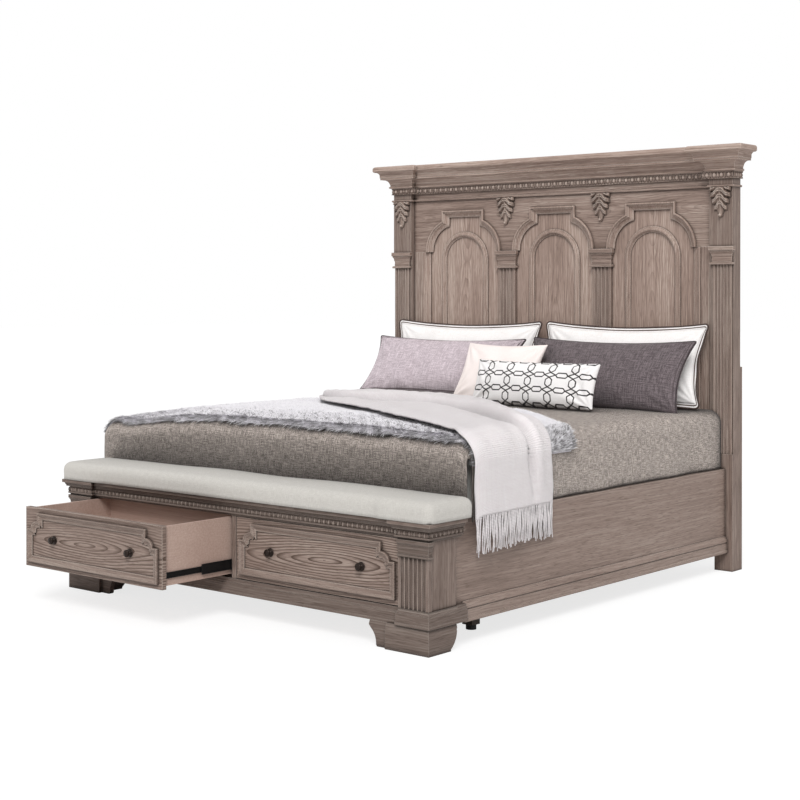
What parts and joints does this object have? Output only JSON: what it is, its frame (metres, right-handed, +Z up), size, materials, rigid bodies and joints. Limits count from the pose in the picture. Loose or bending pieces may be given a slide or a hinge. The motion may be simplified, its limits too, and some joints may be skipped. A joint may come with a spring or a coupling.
{
  "type": "storage bed",
  "caption": "King-size panelled bed with arched headboard, padded footboard bench, storage drawers and bedding.",
  "frame": {"origin": "on the floor under the middle leg of the centre beam, at the middle of the mattress", "axes": "+X to the right seen from the foot, +Y towards the head, +Z up"},
  "size_m": [2.264, 2.7983, 2.0353],
  "materials": {
    "oak": "wire-brushed grey-brown stain with a dark glaze in the grain",
    "drawer_wood": "pinkish tan sealed inside faces",
    "softwood": "planed, unfinished",
    "dark_bronze": "dark bronzed",
    "slide_steel": "black, satin",
    "zinc_steel": "zinc plated",
    "glide_plastic": "moulded",
    "linen": "plain off-white upholstery linen",
    "ticking": "white knitted cover",
    "cover_cloth": "grey-brown woven cloth",
    "fur": "long grey pile with pale tips",
    "knit": "soft off-white knit with a fringe",
    "sham_cloth": "white cotton with dark piping",
    "grey_cloth": "mauve-grey woven cloth",
    "blush_cloth": "smooth blush cotton",
    "patterned_cloth": "off-white cotton with a dark trellis"
  },
  "bodies": {
    "bed": {"headboard_post_left": "oak", "headboard_post_right": "oak", "post_pilasters": "oak", "post_capitals": "oak", "spandrel_board": "oak", "headboard_stiles": "oak", "arch_panels": "oak", "headboard_back_rails": "oak", "arch_outer_mouldings": "oak", "arch_inner_mouldings": "oak", "headboard_mullions": "oak", "mullion_capitals": "oak", "acanthus_corbels": "oak", "headboard_frieze": "oak", "crown_carved_band": "oak", "crown_moulding": "oak", "side_rail_left": "oak", "side_rail_right": "oak", "rail_mouldings": "oak", "rail_hook_brackets": "zinc_steel", "slat_cleats": "softwood", "bed_slats": "softwood", "centre_beam": "softwood", "support_legs": "softwood", "leg_glides": "glide_plastic", "foot_posts": "oak", "foot_pilasters": "oak", "foot_capitals": "oak", "drawer_header": "oak", "foot_carved_band": "oak", "bench_board": "oak", "base_moulding": "oak", "bracket_feet": "oak", "drawer_divider": "oak", "drawer_case": "drawer_wood", "case_floor": "drawer_wood", "slide_outer_members": "slide_steel", "bench_cushion": "linen", "mattress": "ticking", "coverlet": "cover_cloth", "fur_throw": "fur", "knit_throw": "knit", "shams": "sham_cloth", "grey_pillows": "grey_cloth", "blush_pillow": "blush_cloth", "patterned_pillow": "patterned_cloth"},
    "left_drawer": {"left_drawer_front": "oak", "left_drawer_front_moulding": "oak", "left_drawer_knobs": "dark_bronze", "left_drawer_box": "drawer_wood", "left_drawer_bottom": "drawer_wood", "left_drawer_slide_inner": "slide_steel"},
    "left_slide_middle": {"left_drawer_slide_middle": "slide_steel"},
    "right_drawer": {"right_drawer_front": "oak", "right_drawer_front_moulding": "oak", "right_drawer_knobs": "dark_bronze", "right_drawer_box": "drawer_wood", "right_drawer_bottom": "drawer_wood", "right_drawer_slide_inner": "slide_steel"},
    "right_slide_middle": {"right_drawer_slide_middle": "slide_steel"}
  },
  "joints": [
    {"name": "left_drawer_slide", "type": "slide", "parent": "bed", "child": "left_drawer", "axis": [0, -1, 0], "range_m": [-0.38, 0.03]},
    {"name": "right_drawer_slide", "type": "slide", "parent": "bed", "child": "right_drawer", "axis": [0, -1, 0], "range_m": [0, 0.41]},
    {"name": "left_middle_slide", "type": "slide", "parent": "bed", "child": "left_slide_middle", "axis": [0, -1, 0], "range_m": [-0.19, 0.015]},
    {"name": "right_middle_slide", "type": "slide", "parent": "bed", "child": "right_slide_middle", "axis": [0, -1, 0], "range_m": [0, 0.205]}
  ],
  "couplings": [
    {"joint": "left_middle_slide", "follows": "left_drawer_slide", "ratio": 0.5},
    {"joint": "right_middle_slide", "follows": "right_drawer_slide", "ratio": 0.5}
  ]
}
